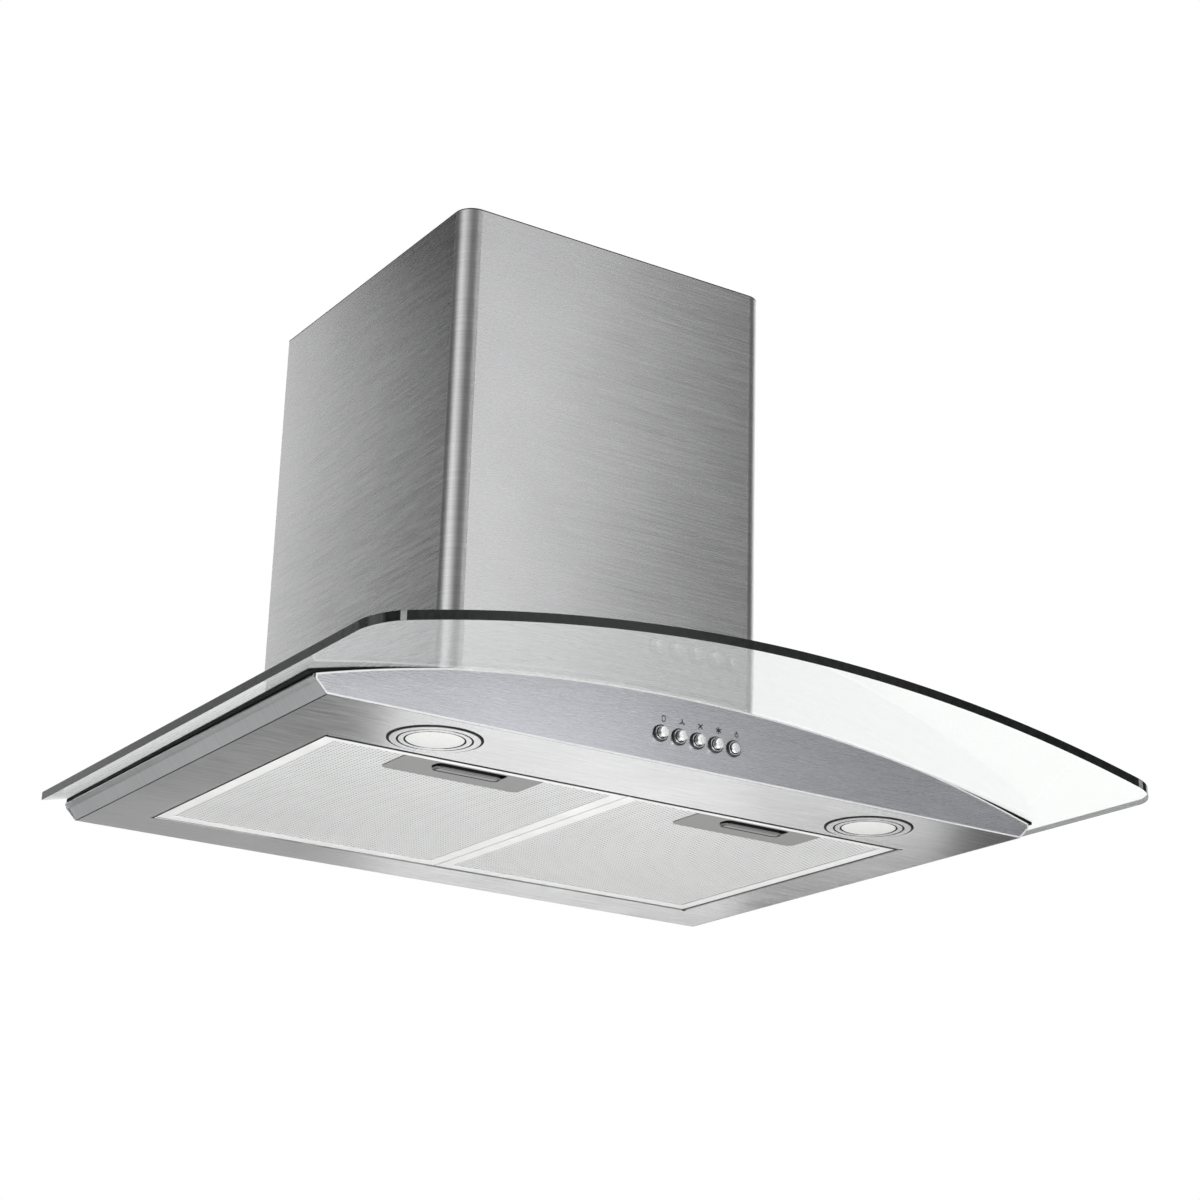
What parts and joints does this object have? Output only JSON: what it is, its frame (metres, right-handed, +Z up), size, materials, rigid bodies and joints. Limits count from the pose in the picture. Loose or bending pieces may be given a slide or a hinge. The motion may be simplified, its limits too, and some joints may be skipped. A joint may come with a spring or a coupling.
{
  "type": "chimney range hood",
  "caption": "Wall-mounted chimney hood with an arched glass canopy, push buttons, lamps and drop-down grease filters.",
  "frame": {"origin": "on the wall plane, midway between the two wall hooks, on the rear face of the blower housing; the underside of the body is 200 mm below it", "axes": "+X to the right along the wall, +Y towards the wall, +Z up"},
  "size_m": [0.6, 0.505, 0.4231],
  "materials": {
    "stainless": "horizontally brushed",
    "glass": "clear tempered, polished edge",
    "black_rubber": "matt",
    "galvanised": "zinc-coated sheet",
    "aluminium": "satin, rolled",
    "filter_mesh": "perforated layers",
    "grey_plastic": "fine matt",
    "black_plastic": "fine matt",
    "lamp_trim": "satin",
    "lens": "frosted white",
    "chrome": "polished",
    "motor_metal": "painted casing"
  },
  "bodies": {
    "hood": {"chimney_cover": "stainless", "fascia_panel": "stainless", "back_panel": "stainless", "underside_panel": "stainless", "side_panel_left": "stainless", "side_panel_right": "stainless", "glass_canopy": "glass", "glass_seal": "black_rubber", "throat_seal": "black_rubber", "top_deck": "galvanised", "blower_housing": "galvanised", "lamp_bezel_left": "lamp_trim", "lamp_lens_left": "lens", "lamp_unit_left": "black_plastic", "lamp_bezel_right": "lamp_trim", "lamp_lens_right": "lens", "lamp_unit_right": "black_plastic", "lamp_driver": "black_plastic", "switch_body": "black_plastic", "canopy_bolt_1": "galvanised", "glass_sleeve_1": "black_rubber", "canopy_bolt_2": "galvanised", "glass_sleeve_2": "black_rubber", "canopy_bolt_3": "galvanised", "glass_sleeve_3": "black_rubber", "canopy_bolt_4": "galvanised", "glass_sleeve_4": "black_rubber", "scroll_casing": "black_plastic", "motor": "motor_metal", "motor_mount": "galvanised", "outlet_collar": "black_plastic", "flap_pin": "galvanised", "terminal_box": "black_plastic", "cable_gland": "black_plastic"},
    "upper_cover": {"upper_chimney_cover": "stainless"},
    "impeller": {"impeller": "black_plastic"},
    "flap_front": {"flap_front": "black_plastic"},
    "flap_rear": {"flap_rear": "black_plastic"},
    "button_stop": {"button_stop": "chrome"},
    "button_low": {"button_low": "chrome"},
    "button_medium": {"button_medium": "chrome"},
    "button_high": {"button_high": "chrome"},
    "button_lamp": {"button_lamp": "chrome"},
    "filter_left": {"filter_frame_left": "aluminium", "filter_mesh_left": "filter_mesh", "filter_plate_left": "grey_plastic"},
    "latch_left": {"filter_latch_left": "grey_plastic"},
    "filter_right": {"filter_frame_right": "aluminium", "filter_mesh_right": "filter_mesh", "filter_plate_right": "grey_plastic"},
    "latch_right": {"filter_latch_right": "grey_plastic"}
  },
  "joints": [
    {"name": "upper_cover_slide", "type": "slide", "parent": "hood", "child": "upper_cover", "axis": [0, 0, 1], "range_m": [0, 0.22]},
    {"name": "filter_left_hinge", "type": "hinge", "parent": "hood", "child": "filter_left", "pos_m": [0, -0.0466, -0.1992], "axis": [1, 0, 0], "range_deg": [0, 80]},
    {"name": "latch_left_slide", "type": "slide", "parent": "filter_left", "child": "latch_left", "axis": [0, 1, 0], "range_m": [0, 0.0032], "stiffness_N_per_m": 600, "springref_m": -0.002},
    {"name": "filter_right_hinge", "type": "hinge", "parent": "hood", "child": "filter_right", "pos_m": [0, -0.0466, -0.1992], "axis": [1, 0, 0], "range_deg": [0, 80]},
    {"name": "latch_right_slide", "type": "slide", "parent": "filter_right", "child": "latch_right", "axis": [0, 1, 0], "range_m": [0, 0.0032], "stiffness_N_per_m": 600, "springref_m": -0.002},
    {"name": "button_stop_slide", "type": "slide", "parent": "hood", "child": "button_stop", "axis": [0, 1, 0], "range_m": [0, 0.003], "stiffness_N_per_m": 400, "springref_m": -0.001},
    {"name": "button_low_slide", "type": "slide", "parent": "hood", "child": "button_low", "axis": [0, 1, 0], "range_m": [0, 0.003], "stiffness_N_per_m": 400, "springref_m": -0.001},
    {"name": "button_medium_slide", "type": "slide", "parent": "hood", "child": "button_medium", "axis": [0, 1, 0], "range_m": [0, 0.003], "stiffness_N_per_m": 400, "springref_m": -0.001},
    {"name": "button_high_slide", "type": "slide", "parent": "hood", "child": "button_high", "axis": [0, 1, 0], "range_m": [0, 0.003], "stiffness_N_per_m": 400, "springref_m": -0.001},
    {"name": "button_lamp_slide", "type": "slide", "parent": "hood", "child": "button_lamp", "axis": [0, 1, 0], "range_m": [-0.0025, 0.0005]},
    {"name": "impeller_spin", "type": "hinge", "parent": "hood", "child": "impeller", "pos_m": [0, -0.175, -0.044], "axis": [1, 0, 0], "continuous": true},
    {"name": "flap_front_hinge", "type": "hinge", "parent": "hood", "child": "flap_front", "pos_m": [0, -0.12, 0.0789], "axis": [1, 0, 0], "range_deg": [-75, 0]},
    {"name": "flap_rear_hinge", "type": "hinge", "parent": "hood", "child": "flap_rear", "pos_m": [0, -0.12, 0.0789], "axis": [1, 0, 0], "range_deg": [0, 75]}
  ]
}
